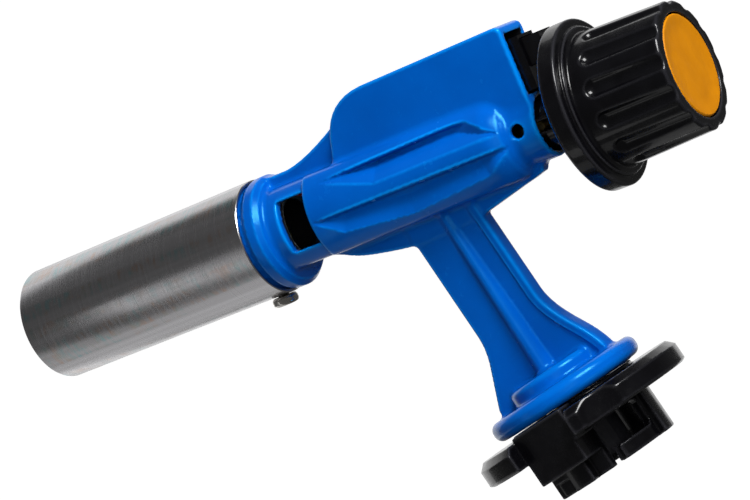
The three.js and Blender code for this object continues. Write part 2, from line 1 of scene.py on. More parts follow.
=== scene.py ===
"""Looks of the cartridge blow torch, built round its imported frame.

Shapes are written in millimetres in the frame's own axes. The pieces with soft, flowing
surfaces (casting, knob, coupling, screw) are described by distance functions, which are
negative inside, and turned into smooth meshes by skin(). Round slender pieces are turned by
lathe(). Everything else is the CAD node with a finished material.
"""

import json
import math

import bpy
import numpy as np
from mathutils import Matrix, Vector


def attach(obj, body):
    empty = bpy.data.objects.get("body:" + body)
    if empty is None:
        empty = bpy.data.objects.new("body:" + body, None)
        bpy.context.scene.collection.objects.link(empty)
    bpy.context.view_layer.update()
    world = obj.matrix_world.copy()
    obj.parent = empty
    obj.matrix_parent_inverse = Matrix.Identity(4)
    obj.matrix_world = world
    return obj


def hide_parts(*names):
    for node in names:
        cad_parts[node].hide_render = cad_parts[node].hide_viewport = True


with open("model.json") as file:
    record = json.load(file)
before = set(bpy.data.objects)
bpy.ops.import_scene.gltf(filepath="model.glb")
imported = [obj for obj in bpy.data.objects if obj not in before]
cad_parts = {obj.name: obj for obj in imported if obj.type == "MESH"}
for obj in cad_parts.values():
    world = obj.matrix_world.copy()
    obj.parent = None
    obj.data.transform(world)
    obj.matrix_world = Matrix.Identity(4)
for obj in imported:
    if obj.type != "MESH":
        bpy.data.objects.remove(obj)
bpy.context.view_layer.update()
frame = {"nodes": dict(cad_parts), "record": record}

# ---------------------------------------------------------------- driving dimensions, mm
MM = 0.001
AXIS_TILT = math.radians(12.76)     # burner axis, nose up
AXIS_HEIGHT = 61.1                  # burner axis above the origin
COS, SIN = math.cos(AXIS_TILT), math.sin(AXIS_TILT)

TUBE_RADIUS = 12.5
TUBE_WALL = 0.6
TUBE_FRONT = -99.1
TUBE_REAR = -38.2
TUBE_SCREW_AT = -41.6

SPIGOT_FRONT = -46.2
SPIGOT_RADIUS = 11.55
COLLAR_FRONT = -37.9
COLLAR_REAR = -33.4
COLLAR_RADIUS = 12.3
NECK_RADIUS = 10.1
SHROUD_FRONT = -22
SHROUD_REAR = 24.8
SHROUD_SLOPE = 4.5                  # length of the sloping rear end
SHROUD_SINK = 1.6                   # how far that end slopes in
SHROUD_FRONT_RADIUS = 11.6
SHROUD_REAR_RADIUS = 9.9
FLAT_TOP = 8.9
FLAT_BOTTOM = -8.4
UPPER_GROOVE = [(-16.3, 6.0), (-5.0, 2.25), (24.5, 2.1), (18.6, 6.4)]      # (along, above)
LOWER_GROOVE = [(-20.5, -1.2), (-15.6, -4.7), (0.4, -6.5), (19.5, -5.1), (25.3, -1.5)]
GROOVE_WALL = 0.7
HOUSING_HALF_WIDTH = 5.4
HOUSING_TOP = 21.5
TOP_WEB_HALF_WIDTH = 1.9
BODY_REAR = 31.7
REAR_TUBE_RADIUS = 6.9
STEM_HALF_WIDTH = 2.15
STEM_RIM = 1.8                      # width of the raised rear edge
PIPE_FLATTENING = 0.62              # the gas pipe is this much narrower than it is deep
WEB_HALF_WIDTH = 1.55
FLANGE_RADIUS = 17.2
FLANGE_BOTTOM = 6.74
FLANGE_TOP = 10.8
BOSS_RADIUS = 10.2
BOSS_TOP = 14

# hollows of the casting; a box is its low and high corner in (along, side, above)
AIR_CHAMBER_RADIUS = 7.2
SPIGOT_BORE_RADIUS = 5.6
SPINDLE_BORE_RADIUS = 5.0
REAR_BORE_RADIUS = 5.8
AIR_WINDOW = ((-29.6, -14, -4.8), (SHROUD_FRONT - 0.5, 14, 6.0))
PIEZO_POCKET = ((-2.8, -3.9, 7.0), (45, 3.9, 19.5))
PIN_HOLE = (27.4, 0.9)              # (along, above)
PIN_HOLE_RADIUS = 1.4
LEAD_HOLE_ABOVE = 5.6
LEAD_HOLE_RADIUS = 1.6
INLET_RADIUS = 4.2

KNOB_HUB_END = 28.8
KNOB_HUB_RADIUS = 5.2
KNOB_FLANGE_FRONT = 39.4
KNOB_FLANGE_REAR = 43.8
KNOB_FLANGE_RADIUS = 17.4
KNOB_RING_RADIUS = 15.5
KNOB_BASE_RADIUS = 14.0
KNOB_END_RADIUS = 13.3
KNOB_END = 64.4
KNOB_FLUTES = 13
FLUTE_START = KNOB_FLANGE_FRONT + 9.9
FLUTE_OFF_AXIS = 14.6               # from the burner axis to a flute's own middle line
FLUTE_RADIUS = 2.0
KNOB_BORE_RADIUS = 2.5
COUNTERBORE_START = 52.8
COUNTERBORE_RADIUS = 4
PIN_SLOT_END = 37.8
PIN_SLOT_HALF_WIDTH = 1.1
CAP_RADIUS = 10.5

DISC_RADIUS = 23.6
DISC_TOP = 5.6
SCALLOP = (19.1, -24.4)             # (x, y) of the round bite in the disc's edge
SCALLOP_RADIUS = 9
PLATE_RADIUS = 14.2
PLATE_TOP = 6.44
SOCKET_RADIUS = 12.6
SOCKET_WALL = 1.8
SOCKET_BOTTOM = -9.3
SOCKET_CEILING = 2.2
LUG_RADIUS = 14.3
# each lug outside the socket: outer radius, middle and half width in degrees, top
LUGS = [(LUG_RADIUS + 1.2, -8, 18, -4.6), (LUG_RADIUS, 102, 14, 1.0), (LUG_RADIUS, 232, 18, -5.4)]
# each window through the socket's wall: middle and half width in degrees
WINDOWS = [(60, 26), (205, 18), (292, 20)]
KEY_HALF_WIDTH = 6.4
NOTCH_END = KEY_HALF_WIDTH + 1.6
KEY_FACE = -18.6
KEY_BOTTOM = -4.8
SLEEVE_RADIUS = 5.9
SCREW_CIRCLE = 8.4                  # radius on which the coupling's screws stand
SCREW_HOLE_RADIUS = 1.6
SCREW_SPOTS = [(SCREW_CIRCLE * math.sin(math.radians(a)), -SCREW_CIRCLE * math.cos(math.radians(a)))
               for a in (90, 210, 330)]

TUBE_SCREW_HEAD_RADIUS = 2.9
TUBE_SCREW_HEAD_HEIGHT = 2.1
TUBE_SCREW_SHANK_RADIUS = 1.2
TUBE_SCREW_SHANK_LENGTH = 4.6

PAST_AXIS = -30                     # a radius beyond the axis, which closes a turned outline


# ---------------------------------------------------------------- camera, stage and light
AIM = Vector((-18.73, 0.0, 54.28)) * MM
CAMERA_AZIMUTH = math.radians(30.288)
CAMERA_ELEVATION = math.radians(-4.055)
CAMERA_ROLL = math.radians(-33.958)
CAMERA_DISTANCE = 0.5696
CAMERA_LENS = 132.31                # mm, on a 36 mm wide sensor


def camera_axes():
    """Right, up and backward directions of the camera."""
    back = Vector((
        math.sin(CAMERA_AZIMUTH) * math.cos(CAMERA_ELEVATION),
        -math.cos(CAMERA_AZIMUTH) * math.cos(CAMERA_ELEVATION),
        math.sin(CAMERA_ELEVATION),
    ))
    level = Vector((math.cos(CAMERA_AZIMUTH), math.sin(CAMERA_AZIMUTH), 0))
    upright = back.cross(level)
    right = level * math.cos(CAMERA_ROLL) + upright * math.sin(CAMERA_ROLL)
    return right, back.cross(right), back


def add_camera():
    right, up, back = camera_axes()
    data = bpy.data.cameras.new("camera")
    data.lens = CAMERA_LENS
    data.sensor_width = 36
    data.clip_start = 0.01
    camera = bpy.data.objects.new("camera", data)
    camera.matrix_world = Matrix.Translation(AIM + back * CAMERA_DISTANCE) @ Matrix(
        (right, up, back)).transposed().to_4x4()
    bpy.context.collection.objects.link(camera)
    bpy.context.scene.camera = camera


def add_lamp(name, toward, distance, size, power, mirrored=True):
    """A soft lamp in the direction toward, which shiny surfaces may mirror or not."""
    data = bpy.data.lights.new(name, "AREA")
    data.shape = "RECTANGLE"
    data.size, data.size_y = size
    data.energy = power
    lamp = bpy.data.objects.new(name, data)
    direction = Vector(toward).normalized()
    lamp.location = AIM + direction * distance
    lamp.rotation_euler = direction.to_track_quat("Z", "Y").to_euler()
    lamp.visible_camera = False
    lamp.visible_glossy = mirrored
    bpy.context.collection.objects.link(lamp)


def add_world():
    world = bpy.data.worlds.new("studio")
    world.use_nodes = True
    background = world.node_tree.nodes["Background"]
    background.inputs["Color"].default_value = (1, 1, 1, 1)
    background.inputs["Strength"].default_value = 0.09
    bpy.context.scene.world = world
    bpy.context.scene.view_settings.view_transform = "Standard"


def add_stage():
    """A pale round studio: the floor curves up into the wall. It lights nothing itself."""
    floor_z, radius, bend, height, segments = -0.32, 3.0, 0.8, 4.0, 64
    section = [(0.01, 0.0), (radius - bend, 0.0)]
    section += [(radius - bend + bend * math.sin(a), bend - bend * math.cos(a))
                for a in np.linspace(0.1, math.pi / 2, 12)]
    section += [(radius, height), (0.01, height)]
    points, faces = [], []
    for i in range(segments):
        angle = 2 * math.pi * i / segments
        points += [(r * math.cos(angle), r * math.sin(angle), floor_z + h) for r, h in section]
    for i in range(segments):
        for j in range(len(section) - 1):
            a, b = i * len(section) + j, (i + 1) % segments * len(section) + j
            faces.append((a, b, b + 1, a + 1))
    mesh = bpy.data.meshes.new("studio_floor")
    mesh.from_pydata(points, [], faces)
    mesh.shade_smooth()
    floor = bpy.data.objects.new("studio_floor", mesh)
    bpy.context.collection.objects.link(floor)
    floor.visible_diffuse = False
    floor.visible_glossy = False
    floor.visible_shadow = False
    material, shader = new_material("studio_paint", {
        "Roughness": 0.9, "Emission Color": (1, 1, 1, 1), "Emission Strength": 0.9})
    grain = noise(material, 4, detail=2)
    link(material, ramp(material, grain, [(0.3, (0.90, 0.90, 0.90)), (0.7, (0.93, 0.93, 0.93))]),
         shader.inputs["Base Color"])
    mesh.materials.append(material)


# ---------------------------------------------------------------- material helpers
def new_material(name, sockets):
    material = bpy.data.materials.new(name)
    material.use_nodes = True
    shader = material.node_tree.nodes["Principled BSDF"]
    for socket, value in sockets.items():
        shader.inputs[socket].default_value = value
    return material, shader


def link(material, source, target):
    material.node_tree.links.new(source, target)


def make(material, kind, inputs=(), **settings):
    """A new node, with settings on the node and values or links on its sockets."""
    node = material.node_tree.nodes.new(kind)
    for name, value in settings.items():
        setattr(node, name, value)
    for key, value in dict(inputs).items():
        if isinstance(value, bpy.types.NodeSocket):
            link(material, value, node.inputs[key])
        else:
            node.inputs[key].default_value = value
    return node


def place_of(material, stretch=(1, 1, 1)):
    """Coordinates fixed to the piece, in the burner axis frame, stretched along it."""
    coordinates = make(material, "ShaderNodeTexCoord").outputs["Object"]
    turned = make(material, "ShaderNodeVectorRotate", {"Vector": coordinates, "Angle": -AXIS_TILT},
                  rotation_type="Y_AXIS")
    return make(material, "ShaderNodeMapping",
                {"Vector": turned.outputs["Vector"], "Scale": stretch}).outputs["Vector"]


def noise(material, scale, detail=4, stretch=(1, 1, 1), distortion=0.0):
    """Noise from 0 to 1, with scale in features a metre."""
    return make(material, "ShaderNodeTexNoise", {
        "Vector": place_of(material, stretch), "Scale": scale, "Detail": detail,
        "Distortion": distortion,
    }).outputs["Fac"]


def ramp(material, factor, stops):
    """A colour or grey that follows factor through the stops."""
    node = make(material, "ShaderNodeValToRGB", {"Fac": factor})
    elements = node.color_ramp.elements
    while len(elements) < len(stops):
        elements.new(0.5)
    for element, (position, colour) in zip(elements, stops):
        element.position = position
        element.color = (*colour, 1) if isinstance(colour, tuple) else (colour, colour, colour, 1)
    return node.outputs["Color"]


def mixed(material, factor, first, second):
    """first where factor is 0, second where it is 1."""
    node = material.node_tree.nodes.new("ShaderNodeMix")
    node.data_type = "RGBA"
    # by number, because the node's number, vector and colour sockets share their names
    factor_in, a_in, b_in = node.inputs[0], node.inputs[6], node.inputs[7]
    link(material, factor, factor_in)
    for value, socket in ((first, a_in), (second, b_in)):
        if isinstance(value, bpy.types.NodeSocket):
            link(material, value, socket)
        else:
            socket.default_value = (*value, 1)
    return node.outputs[2]


def bumps(material, shader, layers):
    """Stacks bump layers, each (height, depth in mm)."""
    normal = None
    for height, depth in layers:
        node = make(material, "ShaderNodeBump", {
            "Height": height, "Distance": depth * MM, "Strength": 1.0})
        if normal:
            link(material, normal, node.inputs["Normal"])
        normal = node.outputs["Normal"]
    link(material, normal, shader.inputs["Normal"])


def edge_factor(material, low, high):
    """0 on flat and hollow places, 1 on sharp outer edges, from the skin's own attribute."""
    edge = make(material, "ShaderNodeAttribute", attribute_name="edge").outputs["Fac"]
    return ramp(material, edge, [(low, 0.0), (high, 1.0)])


# ---------------------------------------------------------------- materials
def blue_enamel():
    material, shader = new_material("blue_enamel", {
        "Specular IOR Level": 0.4, "Specular Tint": (0.12, 0.75, 1.0, 1)})
    blotch = noise(material, 70, detail=3)
    paint = ramp(material, blotch, [(0.3, (0.0, 0.082, 0.43)), (0.7, (0.0, 0.104, 0.52))])
    # painted highlight: the skin's outer edges are lightened to a paler blue
    painted_edge_highlight = mixed(material, edge_factor(material, 0.56, 0.85), paint, (0.0, 0.21, 0.72))
    dusty = ramp(material, noise(material, 900, detail=5), [(0.62, 0.0), (0.78, 0.35)])
    worn = mixed(material, dusty, painted_edge_highlight, (0.0, 0.15, 0.60))
    # painted shade: the insides of the air chamber, rear bore and piezo pocket go near black
    painted_shade = make(material, "ShaderNodeAttribute", attribute_name="painted_shade").outputs["Fac"]
    shaded_hollows = mixed(material, painted_shade, worn, (0.004, 0.004, 0.005))
    link(material, shaded_hollows, shader.inputs["Base Color"])
    gloss = ramp(material, noise(material, 260, detail=4), [(0.3, 0.16), (0.7, 0.28)])
    link(material, gloss, shader.inputs["Roughness"])
    bumps(material, shader, [
        (noise(material, 120, detail=2), 0.16),
        (noise(material, 700, detail=3), 0.03),
        (noise(material, 2600, detail=2), 0.006),
    ])
    return material


def flame_steel():
    """Stainless sheet brushed across, with faint lengthwise light and dark bands and short brown
    and teal ticks in the dark bands, all painted in as reflections.
    """
    material, shader = new_material("flame_steel", {"Metallic": 1.0})
    # painted reflection: faint lengthwise light and dark bands round the tube
    reflection_band = noise(material, 300, detail=3, stretch=(0.02, 1, 1))
    brushing = noise(material, 1600, detail=4, stretch=(1, 0.06, 0.06))
    ticks = noise(material, 900, detail=3, stretch=(1, 0.3, 0.3))
    tone = ramp(material, reflection_band, [(0.3, (0.42, 0.41, 0.42)), (0.7, (0.66, 0.65, 0.67))])
    # painted reflection: brown and teal ticks, mixed in where the bands are dark
    reflection_tint = ramp(material, noise(material, 160, detail=3),
                [(0.42, (0.26, 0.48, 0.50)), (0.58, (0.52, 0.36, 0.28))])
    ticked = mixed(material, ramp(material, ticks, [(0.45, 0.0), (0.6, 0.6)]), tone, reflection_tint)
    tinted = mixed(material, ramp(material, reflection_band, [(0.40, 0.0), (0.52, 1.0)]), ticked, tone)
    scratched = mixed(material, ramp(material, brushing, [(0.5, 0.0), (0.75, 0.1)]), tinted,
                      (0.78, 0.78, 0.80))
    link(material, scratched, shader.inputs["Base Color"])
    gloss = ramp(material, brushing, [(0.3, 0.23), (0.7, 0.29)])
    link(material, gloss, shader.inputs["Roughness"])
    bumps(material, shader, [(reflection_band, 0.012), (brushing, 0.0008)])
    return material


def moulded_plastic(name, dark, light, rough, highlight_colour, coat=0.3):
    """Injection moulded plastic: faint flow marks, fine grain, and paler outer edges painted in as
    highlights.
    """
    material, shader = new_material(name, {
        "Coat Weight": coat, "Coat Roughness": 0.05, "Specular IOR Level": 0.2})
    flow = noise(material, 160, detail=3, distortion=0.6)
    colour = ramp(material, flow, [(0.3, dark), (0.7, light)])
    # painted highlight: the outer edges take the paler last colour
    highlighted_edges = mixed(material, edge_factor(material, 0.58, 0.95), colour, highlight_colour)
    link(material, highlighted_edges, shader.inputs["Base Color"])
    gloss = ramp(material, noise(material, 420, detail=4), [(0.3, rough), (0.7, rough + 0.14)])
    link(material, gloss, shader.inputs["Roughness"])
    bumps(material, shader, [
        (noise(material, 150, detail=2), 0.10),
        (noise(material, 1800, detail=3), 0.010),
    ])
    return material


def worked_metal(name, dark, light, rough):
    """Turned or plated metal: small tool marks, stains and varying polish."""
    material, shader = new_material(name, {"Metallic": 1.0})
    stain = noise(material, 450, detail=5)
    tone = ramp(material, stain, [(0.3, dark), (0.65, light)])
    link(material, tone, shader.inputs["Base Color"])
    marks = noise(material, 3500, detail=3, stretch=(1, 0.1, 0.1))
    gloss = ramp(material, marks, [(0.3, rough), (0.7, rough + 0.2)])
    link(material, gloss, shader.inputs["Roughness"])
    bumps(material, shader, [(marks, 0.01), (stain, 0.02)])
    return material


def soft_surface(name, dark, light, rough, grain):
    """Rubber, ceramic or silicone: mottled colour over a grain of that many features a metre."""
    material, shader = new_material(name, {})
    tone = ramp(material, noise(material, grain / 4, detail=4), [(0.3, dark), (0.7, light)])
    link(material, tone, shader.inputs["Base Color"])
    gloss = ramp(material, noise(material, grain, detail=3), [(0.3, rough), (0.7, rough + 0.15)])
    link(material, gloss, shader.inputs["Roughness"])
    bumps(material, shader, [(noise(material, grain, detail=3), 0.02)])
    return material


# ---------------------------------------------------------------- distance functions
class Place:
    """Points of space in mm: world x, y, z, and along, side, above in the burner axis frame."""

    def __init__(self, x, y, z):
        self.x, self.y, self.z = x, y, z
        self.side = y
        self.along = x * COS - (z - AXIS_HEIGHT) * SIN
        self.above = x * SIN + (z - AXIS_HEIGHT) * COS
        self.off_axis = np.hypot(y, self.above)
        self.off_centre = np.hypot(x, y)


def union(a, b, blend):
    """Both shapes, with a fillet of about that size where they meet."""
    near = np.maximum(blend - np.abs(a - b), 0) / blend
    return np.minimum(a, b) - near * near * blend / 4


def common(a, b, blend):
    return -union(-a, -b, blend)


def cut(a, b, blend):
    """a without b, with the new edges rounded."""
    return -union(-a, b, blend)


def span(value, low, high):
    """Distance to a slab between two levels."""
    return np.abs(value - (low + high) / 2) - (high - low) / 2


def joined(first, second, radius):
    """The overlap of two perpendicular shapes, its edge rounded to that radius."""
    a, b = first + radius, second + radius
    return np.minimum(np.maximum(a, b), 0) + np.hypot(np.maximum(a, 0), np.maximum(b, 0)) - radius


def rod(along, off, start, end, radius, edge=0.3):
    return joined(span(along, start, end), off - radius, edge)


def brick(u, v, w, low, high, edge=0.3):
    flat = joined(span(u, low[0], high[0]), span(v, low[1], high[1]), edge)
    return joined(flat, span(w, low[2], high[2]), edge)


def outline(u, v, points):
    """Distance to a closed outline in two coordinates."""
    nearest = None
    inside = np.zeros(np.broadcast(u, v).shape, bool)
    for (u0, v0), (u1, v1) in zip(points, points[1:] + points[:1]):
        du, dv = u1 - u0, v1 - v0
        share = np.clip(((u - u0) * du + (v - v0) * dv) / (du * du + dv * dv), 0, 1)
        gap = (u - u0 - du * share) ** 2 + (v - v0 - dv * share) ** 2
        nearest = gap if nearest is None else np.minimum(nearest, gap)
        if dv:
            inside ^= ((v0 > v) != (v1 > v)) & (u < u0 + du * (v - v0) / dv)
    return np.where(inside, -1, 1) * np.sqrt(nearest)


def turned(along, off, profile, edge=0.0):
    """A turned shape from a list of (along, radius) points, closed through its axis."""
    closed = [(profile[0][0], PAST_AXIS)] + profile + [(profile[-1][0], PAST_AXIS)]
    return outline(along, off, closed) - edge


def curve(start, handle, end, steps=6):
    """Points of a quadratic curve, without its first."""
    made = []
    for i in range(1, steps + 1):
        t = i / steps
        made.append(tuple((1 - t) ** 2 * s + 2 * t * (1 - t) * h + t * t * e
                          for s, h, e in zip(start, handle, end)))
    return made


def sector(p, inner, outer, centre, half, z0, z1, edge=0.3):
    """A piece of a ring about world Z. Angles are degrees from -Y towards +X."""
    middle, wide = math.radians(centre), math.radians(half)
    forward = p.x * math.sin(middle) - p.y * math.cos(middle)
    sideways = p.x * math.cos(middle) + p.y * math.sin(middle)
    wedge = np.abs(sideways) * math.cos(wide) - forward * math.sin(wide)
    flat = joined(span(p.off_centre, inner, outer), wedge, edge)
    return joined(flat, span(p.z, z0, z1), edge)


# ---------------------------------------------------------------- body casting
def inward(p, start, end):
    """Distance to the left of the line from start to end, both (along, above)."""
    run, rise = end[0] - start[0], end[1] - start[1]
    return (run * (p.above - start[1]) - rise * (p.along - start[0])) / math.hypot(run, rise)


def groove(p, corners, reach, depth):
    """Depth of a flat-sided hollow inside the corners: it deepens upwards to a steep last side."""
    inside = None
    for start, end in zip(corners, corners[1:]):
        side = inward(p, start, end)
        inside = side if inside is None else np.minimum(inside, side)
    wall = inward(p, corners[-1], corners[0])
    return depth * np.clip(inside / reach, 0, 1) * np.clip(wall / GROOVE_WALL + 1, 0, 1)


def collar_and_spigot(p):
    spigot = rod(p.along, p.off_axis, SPIGOT_FRONT, COLLAR_FRONT + 2, SPIGOT_RADIUS)
    edge = 0.5
    collar = turned(p.along, p.off_axis, [
        (COLLAR_FRONT + edge, COLLAR_RADIUS - 1.1), (COLLAR_FRONT + 1.5, COLLAR_RADIUS - edge),
        (COLLAR_REAR - 1.2, COLLAR_RADIUS - edge), (COLLAR_REAR - 0.3, COLLAR_RADIUS - 1.3)], edge)
    return union(spigot, collar, 0.3)


def neck_and_shroud(p):
    neck = rod(p.along, p.off_axis, COLLAR_REAR - 1, SHROUD_FRONT + 1, NECK_RADIUS, 0.2)
    share = (p.along - SHROUD_FRONT) / (SHROUD_REAR - SHROUD_FRONT)
    radius = SHROUD_FRONT_RADIUS + (SHROUD_REAR_RADIUS - SHROUD_FRONT_RADIUS) * share
    rear_slope = np.clip((p.along - SHROUD_REAR) / SHROUD_SLOPE + 1, 0, 1)
    radius = radius - SHROUD_SINK * rear_slope ** 2
    carved = groove(p, UPPER_GROOVE, reach=4.0, depth=2.7)
    carved = carved + groove(p, LOWER_GROOVE, reach=4.2, depth=2.5)
    swelling = joined(span(p.along, SHROUD_FRONT, SHROUD_REAR), p.off_axis - radius + carved, 0.7)
    flats = span(p.above, FLAT_BOTTOM, FLAT_TOP)
    neck = common(neck, flats, 0.9)
    swelling = common(swelling, flats, 0.8)
    return union(neck, swelling, 0.5)


def igniter_housing(p):
    shape = [(BODY_REAR, -2), (BODY_REAR, HOUSING_TOP - 1.6)]
    shape += curve((BODY_REAR, HOUSING_TOP - 1.6), (BODY_REAR, HOUSING_TOP),
                   (BODY_REAR - 1.8, HOUSING_TOP))
    shape += [(-2.5, HOUSING_TOP)]
    shape += curve((-2.5, HOUSING_TOP), (-10.8, HOUSING_TOP - 0.4), (-13.3, 14.2), 8)
    shape += [(-15.4, 8), (-15.4, -2)]
    return joined(outline(p.along, p.above, shape), np.abs(p.side) - HOUSING_HALF_WIDTH, 0.6)


def top_web(p):
    shape = [(-35.5, 7), (-35.5, 11.5), (-28, 11.5)]
    shape += curve((-28, 11.5), (-22.5, 12), (-13, 16.6))
    shape += [(-11, 16.6), (-11, 7)]
    return joined(outline(p.along, p.above, shape), np.abs(p.side) - TOP_WEB_HALF_WIDTH, 0.5)


def stem(p):
    """A web with a raised rear edge, from the barrel down to the foot."""
    shape = [(-9.3, 58), (-9.3, 27.5)]
    shape += curve((-9.3, 27.5), (-9.3, 24.6), (-10.6, 21.5))
    shape += [(-14.9, 12.4), (-14.9, 7), (14.6, 7), (14.0, 12.2)]
    shape += curve((14.0, 12.2), (13.2, 15), (11.4, 18), 4)
    shape += curve((11.4, 18), (7.5, 24.4), (7.5, 28.4))
    shape += [(7.5, 58)]
    inside = outline(p.x, p.z, shape)
    web = joined(inside, np.abs(p.y) - WEB_HALF_WIDTH, 0.4)
    rim = np.maximum(np.maximum(inside, -(inside + STEM_RIM)), 2 - p.x)
    edge = joined(rim, np.abs(p.y) - STEM_HALF_WIDTH, 0.35)
    return union(web, edge, 0.6)


def belly_web(p):
    shape = [(-27.5, 60)]
    shape += curve((-27.5, 60), (-24.5, 56), (-19, 53.6))
    shape += curve((-19, 53.6), (-14, 51.4), (-9.3, 49.8))
    shape += [(7.5, 46.9), (24.2, 46.9), (25.6, 49), (0, 58)]
    return joined(outline(p.x, p.z, shape), np.abs(p.y) - WEB_HALF_WIDTH, 0.45)


def gas_pipe(p):
    shape = [(7, 4.4), (BOSS_TOP, 4.0), (53, 2.4)]
    return turned(p.z, np.hypot(p.x / PIPE_FLATTENING, p.y), shape) * PIPE_FLATTENING


def foot(p):
    flange = rod(p.z, p.off_centre, FLANGE_BOTTOM, FLANGE_TOP, FLANGE_RADIUS, 1.8)
    boss = rod(p.z, p.off_centre, FLANGE_BOTTOM + 1, BOSS_TOP, BOSS_RADIUS, 1.3)
    return union(flange, boss, 0.9)


def casting_holes(p):
    """The casting's air chamber, windows, rear bore, piezo pocket, inlet, pin and lead holes.

    The CAD's narrower hidden bores (valve, jet, seal, electrode, lead, screws and stem) are not
    cut here, so the pieces that run through them stand in solid metal.
    """
    mixer = rod(p.along, p.off_axis, -31, -10, AIR_CHAMBER_RADIUS, 1.0)
    spigot_bore = rod(p.along, p.off_axis, SPIGOT_FRONT - 2, -29, SPIGOT_BORE_RADIUS)
    mixer = np.minimum(mixer, spigot_bore)
    window = brick(p.along, p.side, p.above, *AIR_WINDOW, 0.5)
    spindle_bore = rod(p.along, p.off_axis, 13.5, 24, SPINDLE_BORE_RADIUS)
    rear = np.minimum(spindle_bore, rod(p.along, p.off_axis, 23, 45, REAR_BORE_RADIUS))
    pocket = brick(p.along, p.side, p.above, *PIEZO_POCKET, 0.4)
    off_pin = np.hypot(p.along - PIN_HOLE[0], p.above - PIN_HOLE[1])
    pin_hole = rod(p.side, off_pin, -12, -3, PIN_HOLE_RADIUS, 0.2)
    off_lead = np.hypot(p.side, p.above - LEAD_HOLE_ABOVE)
    lead_hole = joined(off_lead - LEAD_HOLE_RADIUS, span(p.along, -23, -15), 0.3)
    inlet = rod(p.z, p.off_centre, 4, 13.2, INLET_RADIUS)
    holes = np.minimum(union(mixer, window, 0.6), rear)
    for hole in (pocket, pin_hole, lead_hole, inlet):
        holes = np.minimum(holes, hole)
    return holes


def body_casting(p):
    barrel = union(collar_and_spigot(p), neck_and_shroud(p), 1.5)
    barrel = union(barrel, rod(p.along, p.off_axis, 10, BODY_REAR, REAR_TUBE_RADIUS, 0.5), 2.4)
    top = union(igniter_housing(p), top_web(p), 1.6)
    lower = union(union(stem(p), belly_web(p), 1.0), gas_pipe(p), 0.6)
    lower = union(lower, foot(p), 1.2)
    whole = union(union(barrel, top, 1.2), lower, 1.4)
    # the blends must not swell the spigot, which fits inside the flame tube
    behind_spigot = 30 * np.maximum(p.along - COLLAR_FRONT, 0)
    whole = np.maximum(whole, p.off_axis - SPIGOT_RADIUS - behind_spigot)
    return cut(whole, casting_holes(p), 0.5)


# ---------------------------------------------------------------- knob and cap
def control_knob(p):
    flange = turned(p.along, p.off_axis, [
        (KNOB_FLANGE_FRONT + 0.5, 16.2), (KNOB_FLANGE_FRONT + 1.0, KNOB_FLANGE_RADIUS - 0.5),
        (KNOB_FLANGE_REAR - 0.5, KNOB_FLANGE_RADIUS - 0.5), (KNOB_FLANGE_REAR - 0.5, 5)], 0.5)
    ring = rod(p.along, p.off_axis, KNOB_FLANGE_REAR - 1, KNOB_FLANGE_REAR + 0.8,
               KNOB_RING_RADIUS, 0.35)
    share = (p.along - KNOB_FLANGE_REAR) / (KNOB_END - KNOB_FLANGE_REAR)
    radius = KNOB_BASE_RADIUS + (KNOB_END_RADIUS - KNOB_BASE_RADIUS) * share
    barrel = joined(span(p.along, KNOB_FLANGE_REAR - 2, KNOB_END), p.off_axis - radius, 0.7)
    hub = rod(p.along, p.off_axis, KNOB_HUB_END, KNOB_FLANGE_FRONT + 2, KNOB_HUB_RADIUS, 0.3)
    whole = union(union(flange, ring, 0.4), union(barrel, hub, 0.4), 0.7)
    pitch = 2 * math.pi / KNOB_FLUTES
    turn = np.arctan2(p.side, -p.above) - 0.25 * pitch
    turn = (turn + pitch / 2) % pitch - pitch / 2
    across = p.off_axis * np.sin(turn)
    outward = p.off_axis * np.cos(turn)
    before = np.maximum(FLUTE_START - p.along, 0)
    flute = np.sqrt(across ** 2 + (outward - FLUTE_OFF_AXIS) ** 2 + before ** 2) - FLUTE_RADIUS
    whole = cut(whole, flute, 0.4)
    recess = rod(p.along, p.off_axis, KNOB_END - 1.6, KNOB_END + 3, CAP_RADIUS + 0.3, 0.2)
    bore = rod(p.along, p.off_axis, KNOB_HUB_END - 3, KNOB_END + 3, KNOB_BORE_RADIUS, 0.2)
    counterbore = rod(p.along, p.off_axis, COUNTERBORE_START, KNOB_END + 3, COUNTERBORE_RADIUS, 0.2)
    slot = brick(p.along, p.side, p.above, (KNOB_HUB_END - 3, -9, -PIN_SLOT_HALF_WIDTH),
                 (PIN_SLOT_END, 9, PIN_SLOT_HALF_WIDTH), 0.3)
    slot = np.maximum(slot, p.off_axis - KNOB_HUB_RADIUS - 0.8)
    for hollow in (recess, bore, counterbore, slot):
        whole = cut(whole, hollow, 0.25)
    return whole


